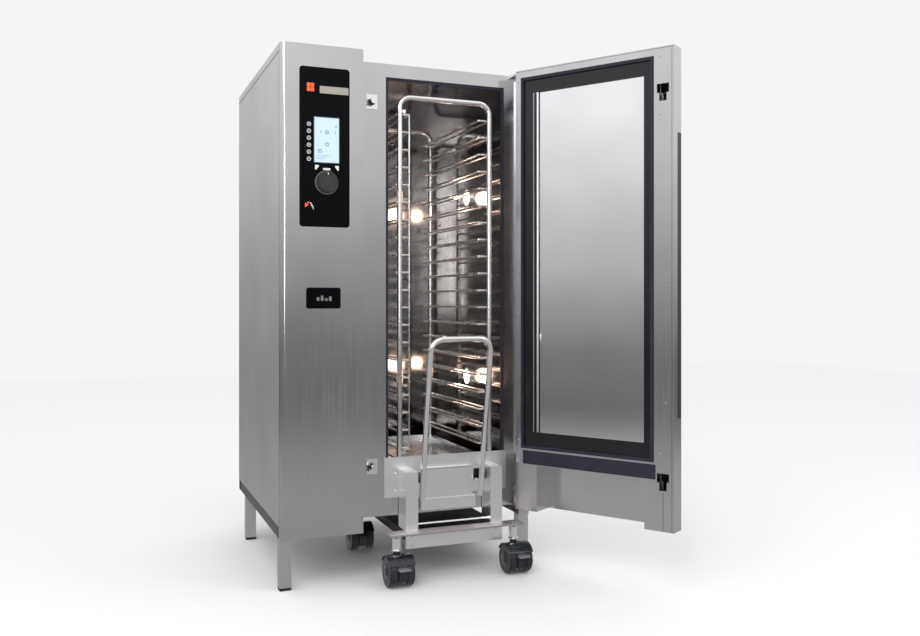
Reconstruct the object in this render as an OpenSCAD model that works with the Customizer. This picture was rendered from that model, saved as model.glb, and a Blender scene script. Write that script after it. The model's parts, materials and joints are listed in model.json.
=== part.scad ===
// Roll-in combi steamer oven with its rack trolley, shown with the door open.
// X runs to the right, Y to the back, Z up. Millimetres.

/* [Body] */
// Height of the control column's top
body_h = 1841; // [1700:1:2000]
// Width over the side panels
body_w = 944; // [900:1:1100]
// Depth from the column's front to the rear panel
body_d = 930; // [860:1:1150]
// Width of the control column
column_w = 285; // [250:1:330]
// Height of the column's lower edge
column_bottom = 175; // [170:1:180]
// Setback of the main front behind the column's front
front_setback = 56; // [54:1:60]
// Drop of the main roof below the column's top
main_drop = 27; // [20:1:40]
// Height of the body's underside
body_bottom = 215; // [205:1:225]
// Thickness of the sheet steel
sheet = 1.5; // [1:0.1:2]
// Radius of the column's front corner
corner_r = 18; // [8:1:22]

/* [Opening] */
// Strip of front between the column and the opening
front_strip = 98; // [90:1:120]
// Width of the opening
opening_w = 458; // [440:1:480]
// Height of the opening's lower edge
opening_bottom = 292; // [288:1:300]
// Drop of the opening's top below the main roof
lintel_h = 47; // [42:1:70]

/* [Door] */
// Angle at which the door stands open
door_open = 122; // [90:1:125]
// Thickness of the door at its edges
door_t = 60; // [56:1:64]
// Running gap between the door and the column
door_gap = 8.5; // [5:0.5:12]
// Distance of the hinge axis from the body's right side
hinge_inset = 44; // [40:1:50]
// Height of the door window's lower edge
window_bottom = 502; // [490:1:560]
// Height of the window's lower black border
window_border = 61; // [50:1:70]
// Length of the door lever
lever_l = 240; // [180:1:300]

/* [Trolley] */
// Number of tray levels
levels = 20; // [14:1:20]
// Pitch of the tray levels
level_pitch = 63; // [55:1:64]
// Spacing of the rack tubes, centre to centre
rack_w = 348; // [340:1:352]
// Diameter of the rack tubes
rack_tube_d = 20; // [16:1:22]
// Depth between the front and rear rack tubes
rack_l = 640; // [560:1:660]
// Track of the casters
caster_track = 442; // [430:1:450]
// Diameter of the caster wheels
wheel_d = 104; // [90:1:106]
// Height of the push handle's top above its feet
handle_h = 570; // [400:1:620]
// Spacing of the push handle's tubes
handle_w = 224; // [200:1:230]
// Lean of the push handle from the vertical
handle_lean = 10; // [8:1:18]

/* [Control knob] */
// Diameter of the control knob
knob_d = 70; // [50:1:76]
// Diameter of the encoder's shaft
encoder_d = 6; // [5:0.5:8]

/* [Connections] */
// Radius of the water inlets' threaded ends
inlet_r = 13.2; // [10:0.1:16]
// Outer radius of the drain pipe
drain_r = 25; // [20:0.5:32]
// Radius of the cable gland's bore
gland_r = 9; // [6:0.5:12]
// Radius of the roof vent's bore
vent_r = 28; // [20:1:36]

/* [Hidden] */
$fn = 48;
joint_clear = 0.05;                   // radial clearance of a running shaft
gap = 0.3;                            // gap between pieces that only meet
rail = 40;                            // side of the base frame's square tubes
tube_wall = 2;                        // wall of square and round tubes
main_top = body_h - main_drop;
main_y = front_setback;
opening_x = [column_w + front_strip, column_w + front_strip + opening_w];
opening_z = [opening_bottom, main_top - lintel_h];
mid_x = (opening_x[0] + opening_x[1]) / 2;

// Cavity
fan_room = 93;                        // depth of the fan chamber behind the baffle
cavity_x = [opening_x[0] - fan_room, opening_x[1] + 12];
cavity_y = [main_y + sheet, body_d - 80];
cavity_z = [opening_z[0], opening_z[1] + 8];
lag_t = 24;                           // thickness of the insulation
baffle_x = opening_x[0] - 7;
fan_y = (cavity_y[0] + cavity_y[1]) / 2;
fan_z = [for (k = [0, 1]) cavity_z[0] + (0.27 + 0.47 * k) * (cavity_z[1] - cavity_z[0])];
fan_r = 145;
fan_shaft_r = 7;
fan_x = [cavity_x[0] + 14, cavity_x[0] + 64];
motor_r = 62;
motor_l = 110;
motor_x1 = cavity_x[0] - sheet - lag_t - gap;
element_r = 178;
lamp_y = cavity_y[0] + 372;
lamp_z = [for (k = [0, 1]) cavity_z[0] + (0.252 + 0.493 * k) * (cavity_z[1] - cavity_z[0])];
lamp_r = 38;

// Door, described closed and then swung about its hinge axis
hinge = [body_w - hinge_inset, 2];
door_x = [column_w + door_gap, hinge[0] + 5.5];
door_y = [main_y - 4 - door_t, main_y - 4];
door_z = [body_bottom + 1, main_top - 2];
door_lean = 19.5;                     // run of the slanted hinge-side edge
flange_w = 70.5;                      // width of the free edge's inner flange
border_x = [door_x[0] + flange_w, door_x[1] - 21.5];
border_z = [window_bottom - window_border, door_z[1] - 27];
window_x = [border_x[0] + 38, border_x[1] - 74];
window_z = [window_bottom, border_z[1] - 60];
glass_lap = 24;                       // how far each pane laps its window
pocket_x = [door_x[0] + 104.5, door_x[1] - 88.5];
pocket_top = border_z[0] - 58;
pocket_y = -34;                       // floor of the pocket that takes the trolley's frame
pin_r = 6;                            // radius of the door's hinge pins
hinge_block = 40;
latch_x = door_x[0] + 38.5;
latch_z = [door_z[0] + 176, door_z[1] - 137];
stud_r = 5;
stud_head_r = 11;
lever_z = (door_z[0] + door_z[1]) / 2 - 20;
lever_x = door_x[0] + 45;
lever_out = 46;                       // how far the lever stands off the skin

// Trolley
shield_y = [main_y - 3.4, main_y - 0.4];
shield_half = 236;
shield_z = [opening_bottom - 14, opening_bottom + 128];
frame_front = -30;                    // front plane of the trolley's U frame
frame_half = 183;
frame_leg = 45;
frame_t = 3;
frame_z = [113, 378];
crossbar_h = 56;
beam_z = frame_z[0] + crossbar_h;     // underside of the caster beams
beam_t = 6;
stem_y = [-43, 452];                  // swivel axes, front and rear
caster_trail = 22;
wheel_r = wheel_d / 2;
wheel_w = 28;
hood_r = wheel_r + 3;
hood_half = 15;                       // half width of the hood's centre between the wheels
neck_r = 13;
rack_y = [main_y + 12, main_y + 12 + rack_l];
rack_base_z = [365, 390];
rack_top = 1714;
rack_bend = 42;
level_z0 = 447;
runner_d = 7;
runner_in = 26;                       // how far each runner stands inside its tubes
pan_rod_d = 6;
pan_rod_x = mid_x - rack_w / 2 + rack_tube_d / 2 + 8;
pan_rod_crank = 18;
eye_z = [level_z0 - 20, level_z0 + (levels - 1) * level_pitch + 4];
handle_d = 20;
handle_foot = [mid_x, 5, 273];
handle_bend = 48;
peg_z = 52;                           // height of the handle's pegs above its feet
peg_r = 4;

// Panel
glass_x = [63, 236];
glass_z = [body_h - 616, body_h - 76];
glass_out = 1.5;
knob_at = [156, body_h - 465];
knob_l = 20;
knob_y1 = -glass_out - 4;
low_x = [86, 205];
low_z = [body_h - 892, body_h - 821];

// Lock bar in the door's free edge
bar_half = 17;
bar_y = [main_y - 24.5, main_y - 21];
guide_l = 60;

// Whole part
rear_out = 35;                        // how far the rear connections stand out
function swung(p) = [
    hinge[0] + (p[0] - hinge[0]) * cos(door_open) - (p[1] - hinge[1]) * sin(door_open),
    hinge[1] + (p[0] - hinge[0]) * sin(door_open) + (p[1] - hinge[1]) * cos(door_open)
];
lever_tip = swung([lever_x, door_y[0] - lever_out - 10]);
far_x = max(lever_tip[0], swung([door_x[0], door_y[0]])[0]);
near_y = swung([door_x[0], door_y[1]])[1];
origin = [far_x / 2, (near_y + body_d + rear_out) / 2];

steel = [0.72, 0.72, 0.73];
dark = [0.13, 0.13, 0.15];
rubber = [0.16, 0.15, 0.2];

// ---- helpers ----

// A block between two limits on each axis
module span(x, y, z) {
    translate([x[0], y[0], z[0]])
        cube([x[1] - x[0], y[1] - y[0], z[1] - z[0]]);
}

// Square tubes along X, Y and Z
module tube_x(x, y, z, wall) {
    difference() {
        span(x, y, z);
        span([x[0] - 1, x[1] + 1], [y[0] + wall, y[1] - wall], [z[0] + wall, z[1] - wall]);
    }
}

module tube_y(x, y, z, wall) {
    difference() {
        span(x, y, z);
        span([x[0] + wall, x[1] - wall], [y[0] - 1, y[1] + 1], [z[0] + wall, z[1] - wall]);
    }
}

module tube_z(x, y, z, wall) {
    difference() {
        span(x, y, z);
        span([x[0] + wall, x[1] - wall], [y[0] + wall, y[1] - wall], [z[0] - 1, z[1] + 1]);
    }
}

// A plate in the XZ plane with a window
module frame_y(x, y, z, hole_x, hole_z) {
    difference() {
        span(x, y, z);
        span(hole_x, [y[0] - 1, y[1] + 1], hole_z);
    }
}

// Cylinders along each axis, from a start point
module rod_x(at, r, l) {
    translate(at) rotate([0, 90, 0]) cylinder(r = r, h = l);
}

module rod_y(at, r, l) {
    translate(at) rotate([-90, 0, 0]) cylinder(r = r, h = l);
}

module rod_z(at, r, l) {
    translate(at) cylinder(r = r, h = l);
}

// An inverted U of round tube in the XZ plane, feet at z = 0
module hoop(width, height, d, bend) {
    for (side = [-1, 1])
        translate([side * width / 2, 0, 0]) cylinder(d = d, h = height - bend);
    for (side = [0, 1])
        mirror([side, 0, 0])
            translate([width / 2 - bend, 0, height - bend])
                rotate([90, 0, 0])
                    rotate_extrude(angle = 90) translate([bend, 0]) circle(d = d);
    translate([-width / 2 + bend, 0, height]) rotate([0, 90, 0])
        cylinder(d = d, h = width - 2 * bend);
}

// Moves from the oven's own corner to the origin at the centre of the footprint
module placed() {
    translate([-origin[0], -origin[1], 0]) children();
}

// Swings a closed door's pieces to where the door stands open
module on_door() {
    placed()
        translate([hinge[0], hinge[1], 0]) rotate([0, 0, door_open])
            translate([-hinge[0], -hinge[1], 0]) children();
}

// ---- oven body ----

rail_z = [column_bottom, body_bottom];
rail_y = [corner_r + 6, body_d - 2];
rail_right = [body_w - 1 - rail, body_w - 1];
leg_y = [22, body_d - 190];
leg_right_y = [main_y + 4, body_d - 190];

module base_frame() {
    color(dark) placed() {
        tube_y([1, 1 + rail], [rail_y[0], rail_y[1] - rail], rail_z, tube_wall);
        tube_y([column_w - 2 - rail, column_w - 2], [rail_y[0], rail_y[1] - rail], rail_z,
               tube_wall);
        tube_y(rail_right, [main_y + 4, rail_y[1] - rail], rail_z, tube_wall);
        tube_x([1, body_w - 1], [rail_y[1] - rail, rail_y[1]], rail_z, tube_wall);
        tube_x([1 + rail, column_w - 2 - rail], [rail_y[0], rail_y[0] + rail], rail_z,
               tube_wall);
    }
}

module each_leg() {
    for (y = leg_y)
        translate([1, y, 0]) children();
    for (y = leg_right_y)
        translate([rail_right[0], y, 0]) children();
}

pad_h = 10;
plug_h = 20;

module legs() {
    color(steel) placed()
        each_leg() tube_z([0, rail], [0, rail], [pad_h, column_bottom], tube_wall);
}

module foot_pads() {
    color(dark) placed()
        each_leg() {
            span([1, rail - 1], [1, rail - 1], [0, pad_h]);
            span([tube_wall + gap, rail - tube_wall - gap],
                 [tube_wall + gap, rail - tube_wall - gap], [pad_h - 1, pad_h + plug_h]);
        }
}

module inner_chassis() {
    deck_z = [body_bottom, body_bottom + 2];
    color(steel) placed() {
        span([2, body_w - 2], [main_y + 2, body_d - 2], deck_z);
        span([2, column_w - 2], [22, main_y + 2], deck_z);
    }
}

module side_sheet(z_top) {
    span([0, sheet], [corner_r + 6, body_d - sheet], [body_bottom, z_top]);
    for (y = [corner_r + 6, body_d - 2 * sheet])
        span([0, 14], [y, y + sheet], [body_bottom + 3, z_top]);
}

module left_panel() {
    color(steel) placed() side_sheet(body_h - sheet);
}

module right_panel() {
    color(steel) placed()
        translate([body_w, 0, 0]) mirror([1, 0, 0])
            difference() {
                side_sheet(main_top - sheet);
                span([-1, 15], [0, main_y + sheet], [0, body_h]);
            }
}

inlet_x = [86, 146];
inlet_z = 330;
gland_at = [60, 430];
drain_y = cavity_y[1] - 70;
drain_z = body_bottom + 35;

module rear_panel() {
    color(steel) placed()
        difference() {
            union() {
                span([0, body_w], [body_d - sheet, body_d], [body_bottom, main_top - sheet]);
                span([0, column_w], [body_d - sheet, body_d], [main_top - 2, body_h - sheet]);
            }
            for (x = inlet_x)
                rod_y([x, body_d - 3, inlet_z], inlet_r + 1, 6);
            rod_y([gland_at[0], body_d - 3, gland_at[1]], gland_r + 4, 6);
            rod_y([mid_x, body_d - 3, drain_z], drain_r + 1, 6);
            for (i = [0 : 11])
                span([60, 60 + 150], [body_d - 3, body_d + 1],
                     [560 + 26 * i, 566 + 26 * i]);
        }
}

vent_at = [[mid_x + 90, body_d - 130], [mid_x - 40, body_d - 130]];

module top_panels() {
    color(steel) placed() {
        difference() {
            span([column_w, body_w], [main_y, body_d], [main_top - sheet, main_top]);
            for (at = vent_at)
                rod_z([at[0], at[1], main_top - 3], vent_r + 0.5, 6);
        }
        difference() {
            span([0, column_w], [corner_r + 6, body_d], [body_h - sheet, body_h]);
            span([column_w - sheet, column_w + 1], [0, main_y], [body_h - 3, body_h + 1]);
        }
        span([column_w - sheet, column_w], [main_y + sheet, body_d - sheet],
             [main_top, body_h - sheet]);
    }
}

// Outline of the column's front, with its rounded left corner
module column_outline(inset) {
    intersection() {
        union() {
            translate([corner_r, corner_r]) circle(r = corner_r - inset, $fn = 64);
            translate([corner_r, inset]) square([column_w - corner_r - inset, 100]);
            translate([inset, corner_r]) square([column_w - 2 * inset, 100]);
        }
        translate([-1, -1]) square([column_w + 2, main_y + sheet + 1]);
    }
}

module column_cover() {
    cover_z = [column_bottom, body_h];
    color(steel) placed()
        difference() {
            union() {
                translate([0, 0, cover_z[0]])
                    linear_extrude(cover_z[1] - cover_z[0])
                        difference() {
                            column_outline(0);
                            column_outline(sheet);
                            translate([-1, corner_r + 5]) square([sheet + 2, 100]);
                            translate([column_w - 5, main_y]) square([10, 10]);
                        }
                for (z = [cover_z[0], cover_z[1] - sheet])
                    translate([0, 0, z])
                        linear_extrude(sheet)
                            intersection() {
                                column_outline(0);
                                square([column_w, corner_r + 5]);
                            }
            }
            span([glass_x[0] + 6, glass_x[1] - 6], [-1, 3], [glass_z[0] + 6, glass_z[1] - 6]);
            span([low_x[0] + 6, low_x[1] - 6], [-1, 3], [low_z[0] + 6, low_z[1] - 6]);
        }
}

module front_frame() {
    color(steel) placed()
        frame_y([column_w - sheet, body_w], [main_y, main_y + sheet],
                [body_bottom, main_top - sheet], opening_x, opening_z);
}

// ---- cavity ----

module cavity_liner() {
    color([0.6, 0.6, 0.6]) placed()
        difference() {
            span([cavity_x[0] - sheet, cavity_x[1] + sheet], [cavity_y[0], cavity_y[1] + sheet],
                 [cavity_z[0] - sheet, cavity_z[1] + sheet]);
            span(cavity_x, [cavity_y[0] - 1, cavity_y[1]], cavity_z);
            for (z = fan_z)
                rod_x([cavity_x[0] - 3, fan_y, z], fan_shaft_r + 2, 6);
            rod_z([mid_x, cavity_y[1] - 70, cavity_z[0] - 3], drain_r + gap, 6);
        }
}

module insulation() {
    s = sheet;
    color([0.85, 0.8, 0.6]) placed()
        difference() {
            span([cavity_x[0] - s - lag_t, cavity_x[1] + s + lag_t],
                 [cavity_y[0] + 1, cavity_y[1] + s + lag_t],
                 [cavity_z[0] - s - lag_t, cavity_z[1] + s + lag_t]);
            span([cavity_x[0] - s, cavity_x[1] + s], [cavity_y[0] - 1, cavity_y[1] + s],
                 [cavity_z[0] - s, cavity_z[1] + s]);
            for (z = fan_z)
                rod_x([cavity_x[0] - s - lag_t - 1, fan_y, z], fan_shaft_r + 4, lag_t + 2);
            rod_z([mid_x, drain_y, cavity_z[0] - s - lag_t - 1], drain_r + 1, lag_t + 2);
            rod_y([mid_x, drain_y, drain_z], drain_r + 1, body_d - drain_y);
        }
}

seal_t = 4;

module throat_seal() {
    color(rubber) placed()
        frame_y(opening_x, [main_y + sheet, main_y + sheet + 24], opening_z,
                [opening_x[0] + seal_t, opening_x[1] - seal_t],
                [opening_z[0] + seal_t, opening_z[1] - seal_t]);
}

grille_r = 118;

module fan_baffle() {
    baffle_z = [cavity_z[0] + 12, cavity_z[1] - 12];
    baffle_y = [cavity_y[0] + 34, cavity_y[1] - 40];
    color([0.62, 0.62, 0.63]) placed() {
        difference() {
            span([baffle_x, baffle_x + 2], baffle_y, baffle_z);
            for (z = fan_z)
                for (ring = [1 : 4])
                    for (i = [1 : 6 * ring])
                        rod_x([baffle_x - 1,
                               fan_y + ring * grille_r / 4 * cos(60 * i / ring),
                               z + ring * grille_r / 4 * sin(60 * i / ring)],
                              9, 4);
        }
        // standoffs to the chamber's wall
        for (y = [baffle_y[0] + 20, baffle_y[1] - 20])
            for (z = [baffle_z[0] + 40, (baffle_z[0] + baffle_z[1]) / 2, baffle_z[1] - 40])
                rod_x([cavity_x[0], y, z], 6, baffle_x - cavity_x[0]);
    }
}

module heating_elements() {
    color([0.3, 0.28, 0.27]) placed()
        for (z = fan_z)
            for (k = [0, 1]) {
                translate([cavity_x[0] + 20 + 22 * k, fan_y, z]) rotate([0, 90, 0])
                    rotate_extrude($fn = 64) translate([element_r, 0]) circle(r = 4);
                rod_x([cavity_x[0], fan_y + 24 * k, z - sqrt(pow(element_r, 2) - pow(24 * k, 2))],
                      3.5, 20 + 22 * k);
            }
}

module fan_motors() {
    color([0.35, 0.36, 0.38]) placed()
        for (z = fan_z)
            difference() {
                union() {
                    rod_x([motor_x1 - motor_l, fan_y, z], motor_r, motor_l - 6);
                    span([motor_x1 - 6, motor_x1], [fan_y - 85, fan_y + 85], [z - 85, z + 85]);
                }
                rod_x([motor_x1 - motor_l + 10, fan_y, z], fan_shaft_r + joint_clear, motor_l);
            }
}

module fan_wheel(z) {
    blades = 20;
    color([0.66, 0.66, 0.67]) placed() {
        rod_x([motor_x1 - motor_l + 12, fan_y, z], fan_shaft_r,
              fan_x[0] - motor_x1 + motor_l - 12);
        difference() {
            union() {
                rod_x([fan_x[0], fan_y, z], fan_r, 3);
                rod_x([fan_x[0], fan_y, z], 28, 30);
                translate([fan_x[0] + 2, fan_y, z])
                    for (i = [0 : blades - 1])
                        rotate([i * 360 / blades, 0, 0])
                            translate([0, 100, 0]) rotate([12, 0, 0])
                                cube([fan_x[1] - fan_x[0] - 3, 40, 2]);
            }
            rod_x([fan_x[0] + 22, fan_y, z], 6, 20);
        }
    }
}

module fan_wheel_lower() {
    fan_wheel(fan_z[0]);
}

module fan_wheel_upper() {
    fan_wheel(fan_z[1]);
}

module lamp_bezels() {
    color(steel) placed()
        for (z = lamp_z)
            difference() {
                rod_x([cavity_x[1] - 9, lamp_y, z], lamp_r, 9);
                rod_x([cavity_x[1] - 10, lamp_y, z], lamp_r - 8, 8);
                rod_x([cavity_x[1] - 4, lamp_y, z], lamp_r - 12, 5);
            }
}

module lamp_lenses() {
    color([1, 0.93, 0.8]) placed()
        for (z = lamp_z)
            rod_x([cavity_x[1] - 7, lamp_y, z], lamp_r - 8 - gap, 5);
}

boiler_at = [120, body_d - 240];
boiler_r = 92;

module steam_generator() {
    boiler_z = [body_bottom + 2, 800];
    color([0.68, 0.68, 0.66]) placed() {
        difference() {
            rod_z([boiler_at[0], boiler_at[1], boiler_z[0]], boiler_r, boiler_z[1] - boiler_z[0]);
            rod_z([boiler_at[0], boiler_at[1], boiler_z[0] + 3], boiler_r - 2,
                  boiler_z[1] - boiler_z[0] - 6);
        }
        rod_z([boiler_at[0], boiler_at[1], boiler_z[1]], 16, 40);
    }
}

// ---- controls ----

module control_electronics() {
    color([0.1, 0.35, 0.2]) placed() {
        // panel board behind the glass
        difference() {
            span([70, 230], [22, 24], [glass_z[0] + 20, glass_z[1] - 20]);
            rod_y([knob_at[0], 20, knob_at[1]], encoder_d / 2 + 3, 8);
        }
        for (x = [76, 224])
            for (z = [glass_z[0] + 30, glass_z[1] - 30])
                rod_y([x, sheet + 1.5, z], 4, 20.5 - sheet);
        // encoder block that guides the shaft
        difference() {
            span([knob_at[0] - 12, knob_at[0] + 12], [8, 22], [knob_at[1] - 12, knob_at[1] + 12]);
            rod_y([knob_at[0], 5, knob_at[1]], encoder_d / 2 + joint_clear, 30);
        }
        // power boards on the divider side
        span([20, 24], [150, 520], [900, 1640]);
        for (i = [0 : 3])
            span([24, 84], [180, 480], [930 + 180 * i, 1050 + 180 * i]);
        for (y = [170, 500])
            for (z = [920, 1620])
                rod_x([sheet, y, z], 5, 20 - sheet);
    }
}

module control_glass() {
    color([0.02, 0.02, 0.03]) placed()
        difference() {
            union() {
                span(glass_x, [-glass_out, 0], glass_z);
                span([glass_x[0] + 6 + gap, glass_x[1] - 6 - gap], [-glass_out, 3],
                     [glass_z[0] + 6 + gap, glass_z[1] - 6 - gap]);
                span(low_x, [-1, 0], low_z);
                span([low_x[0] + 6 + gap, low_x[1] - 6 - gap], [-1, 3],
                     [low_z[0] + 6 + gap, low_z[1] - 6 - gap]);
            }
            rod_y([knob_at[0], -5, knob_at[1]], encoder_d / 2 + 1, 12);
        }
}

module display_screen() {
    color([0.75, 0.88, 0.95]) placed()
        span([114, 198], [-glass_out - 0.6, -glass_out],
             [body_h - 397, body_h - 246]);
}

module panel_icons() {
    face_y = [-glass_out - 0.6, -glass_out];
    color([0.8, 0.78, 0.72]) placed() {
        // top bar and its badge, and the badge below the knob
        span([132, 232], face_y, [body_h - 165, body_h - 138]);
        span([87, 114], face_y, [body_h - 161, body_h - 130]);
        span([81, 110], face_y, [body_h - 556, body_h - 531]);
        // column of keys beside the screen
        for (i = [0 : 5])
            span([88, 102], face_y, [body_h - 394 + 23.5 * i, body_h - 381 + 23.5 * i]);
        // two keys and a bar between the screen and the knob
        for (x = [114, 182])
            span([x, x + 18], face_y, [body_h - 427, body_h - 407]);
        span([142, 170], face_y, [body_h - 424, body_h - 415]);
        // mark in the low window
        span([118, 176], [-1.6, -1], [body_h - 868, body_h - 846]);
    }
}

push_travel = 1.2;

module encoder_shaft() {
    color([0.7, 0.7, 0.7]) placed()
        rod_y([knob_at[0], knob_y1 - knob_l + 4, knob_at[1]], encoder_d / 2,
              knob_l + 22 - knob_y1 - 4 - push_travel - 2);
}

module knob() {
    color(dark) placed()
        difference() {
            union() {
                rod_y([knob_at[0], knob_y1 - knob_l + 3, knob_at[1]], knob_d / 2, knob_l - 3);
                rod_y([knob_at[0], knob_y1 - knob_l, knob_at[1]], knob_d / 2 - 3, 4);
            }
            rod_y([knob_at[0], knob_y1 - knob_l + 4, knob_at[1]], encoder_d / 2 + joint_clear,
                  knob_l);
            rod_y([knob_at[0], knob_y1 - knob_l - 1, knob_at[1]], knob_d / 2 - 9, 2);
        }
}

// ---- latch, hinges and connections ----

module latch_strikes() {
    color([0.8, 0.8, 0.8]) placed()
        for (z = latch_z) {
            span([latch_x - 19, latch_x + 19], [main_y - 3.5, main_y], [z - 26, z + 26]);
            rod_y([latch_x, main_y - 26, z], stud_r, 24);
            rod_y([latch_x, main_y - 33, z], stud_head_r, 7);
        }
}

bracket_t = 7;

module hinge_brackets() {
    color([0.75, 0.75, 0.76]) placed() {
        // upper arm on the roof, with its pin down into the door
        span([hinge[0] - 20, hinge[0] + 24], [-16, main_y + 110],
             [main_top, main_top + bracket_t]);
        rod_z([hinge[0], hinge[1], main_top - hinge_block + 6], pin_r, hinge_block - 6);
        // lower arm under the door, bolted to the base frame's rail
        span([hinge[0] - 20, hinge[0] + 43], [-16, main_y + 4],
             [body_bottom - 1 - bracket_t, body_bottom - 1]);
        span([rail_right[0], rail_right[1]], [main_y - 3, main_y + 4],
             [column_bottom, body_bottom - 1 - bracket_t]);
        rod_z([hinge[0], hinge[1], body_bottom - 1], pin_r, hinge_block - 6);
    }
}

module water_inlets() {
    color([0.75, 0.62, 0.3]) placed()
        for (x = inlet_x) {
            difference() {
                union() {
                    rod_y([x, body_d - 30, inlet_z], inlet_r, rear_out + 30 - 10);
                    rod_y([x, body_d - sheet - 5, inlet_z], inlet_r + 5, 5);
                    rod_y([x, body_d, inlet_z], inlet_r + 4, 5);
                }
                rod_y([x, body_d - 31, inlet_z], inlet_r - 3.5, rear_out + 60);
            }
        }
}

module drain_pipe() {
    color([0.6, 0.6, 0.6]) placed()
        difference() {
            union() {
                rod_z([mid_x, drain_y, drain_z - drain_r], drain_r,
                      cavity_z[0] - sheet - drain_z + drain_r + sheet);
                rod_y([mid_x, drain_y, drain_z], drain_r, body_d + rear_out - drain_y);
                rod_y([mid_x, body_d, drain_z], drain_r + 4, 5);
            }
            rod_z([mid_x, drain_y, drain_z], drain_r - tube_wall, 100);
            rod_y([mid_x, drain_y, drain_z], drain_r - tube_wall, body_d + rear_out);
        }
}

module cable_gland() {
    color(dark) placed()
        difference() {
            union() {
                rod_y([gland_at[0], body_d - 12, gland_at[1]], gland_r + 3.5, 34);
                translate([gland_at[0], body_d, gland_at[1]]) rotate([-90, 0, 0])
                    cylinder(r = gland_r + 7, h = 8, $fn = 6);
                translate([gland_at[0], body_d - sheet, gland_at[1]]) rotate([90, 0, 0])
                    cylinder(r = gland_r + 7, h = 6, $fn = 6);
            }
            rod_y([gland_at[0], body_d - 13, gland_at[1]], gland_r, 36);
        }
}

module roof_vents() {
    color(steel) placed()
        for (at = vent_at)
            difference() {
                union() {
                    rod_z([at[0], at[1], main_top - 4], vent_r + sheet - 1.2, main_drop + 4);
                    rod_z([at[0], at[1], main_top], vent_r + 12, 2);
                }
                rod_z([at[0], at[1], main_top - 5], vent_r - 1, main_drop + 10);
            }
}

// ---- door ----

skin_x1 = door_x[1] + door_lean;

// Outline of the closed door seen from above
module door_outline(inset) {
    polygon([
        [door_x[0] + inset, door_y[0] + inset],
        [skin_x1 - inset * 1.3, door_y[0] + inset],
        [door_x[1] - inset * 0.9, door_y[1] + 1],
        [door_x[0] + inset, door_y[1] + 1]
    ]);
}

module door_shell() {
    wall = 1.5;
    box_x = [pocket_x[0] - wall, pocket_x[1] + wall];
    color(steel) on_door()
        difference() {
            union() {
                difference() {
                    translate([0, 0, door_z[0]])
                        linear_extrude(door_z[1] - door_z[0]) door_outline(0);
                    translate([0, 0, door_z[0] + wall])
                        linear_extrude(door_z[1] - door_z[0] - 2 * wall) door_outline(wall);
                    span([0, 2000], [door_y[1] - 2, door_y[1] + 10], [0, 3000]);
                }
                // bulge that houses the trolley's frame
                span(box_x, [pocket_y - wall, door_y[1] - 2], [door_z[0], pocket_top + wall]);
            }
            span(pocket_x, [pocket_y, door_y[1] + 9], [door_z[0] - 1, pocket_top]);
            span([window_x[0], window_x[1]], [door_y[0] - 1, door_y[0] + 3], window_z);
            rod_z([hinge[0], hinge[1], door_z[0] - 1], pin_r + 3, 5);
            rod_z([hinge[0], hinge[1], door_z[1] - 4], pin_r + 3, 5);
            rod_y([lever_x, door_y[0] - 1, lever_z], 9, 4);
        }
}

module key_slots() {
    wide = 43;
    for (z = latch_z)
        span([latch_x - wide / 2, latch_x + wide / 2], [door_y[1] - 20, door_y[1] + 1],
             [z - 15, z + 15]);
    for (z = latch_z)
        span([latch_x - 13, latch_x + 13], [door_y[1] - 20, door_y[1] + 1], [z - 42, z]);
}

// Pairs of lipped guides that carry the lock bar behind the flange
module bar_guides() {
    for (z = [latch_z[0] + 80, (latch_z[0] + latch_z[1]) / 2, latch_z[1] - 140])
        for (side = [0, 1])
            translate([latch_x, 0, 0]) mirror([side, 0, 0]) {
                span([bar_half + gap, bar_half + 4], [bar_y[0] - 3, door_y[1] - 1],
                     [z, z + guide_l]);
                span([bar_half - 3, bar_half + 4], [bar_y[0] - 3, bar_y[0] - gap],
                     [z, z + guide_l]);
            }
}

module door_inner_frame() {
    color(steel) on_door() {
        difference() {
            span([door_x[0], door_x[1]], [door_y[1] - 2, door_y[1]], door_z);
            span(border_x, [door_y[1] - 3, door_y[1] + 1], [border_z[0], border_z[1]]);
            span([border_x[0] - 6, border_x[1] - 9], [door_y[1] - 3, door_y[1] + 1],
                 [pocket_top + 2, border_z[0] - 7]);
            span(pocket_x, [door_y[1] - 3, door_y[1] + 1], [door_z[0] - 1, pocket_top]);
            key_slots();
        }
        bar_guides();
    }
}

pane_y = [door_y[1] - 14, door_y[1] - 9];

module door_glass_frame() {
    color(dark) on_door() {
        // black border round the inner pane
        frame_y(border_x, [pane_y[1], pane_y[1] + 4], border_z, window_x, window_z);
        // core ring between the two panes
        frame_y([window_x[0] - 20, window_x[1] + 20], [door_y[0] + 6.5, pane_y[0]],
                [window_z[0] - 20, window_z[1] + 20],
                [window_x[0] - 17, window_x[1] + 17], [window_z[0] - 17, window_z[1] + 17]);
    }
}

module door_inner_glass() {
    color([0.6, 0.65, 0.68]) on_door()
        span([window_x[0] - glass_lap, window_x[1] + glass_lap], pane_y,
             [window_z[0] - glass_lap, window_z[1] + glass_lap]);
}

module door_outer_glass() {
    color([0.3, 0.33, 0.36]) on_door()
        span([window_x[0] - glass_lap, window_x[1] + glass_lap],
             [door_y[0] + 1.5, door_y[0] + 6.5],
             [window_z[0] - glass_lap, window_z[1] + glass_lap]);
}

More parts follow.
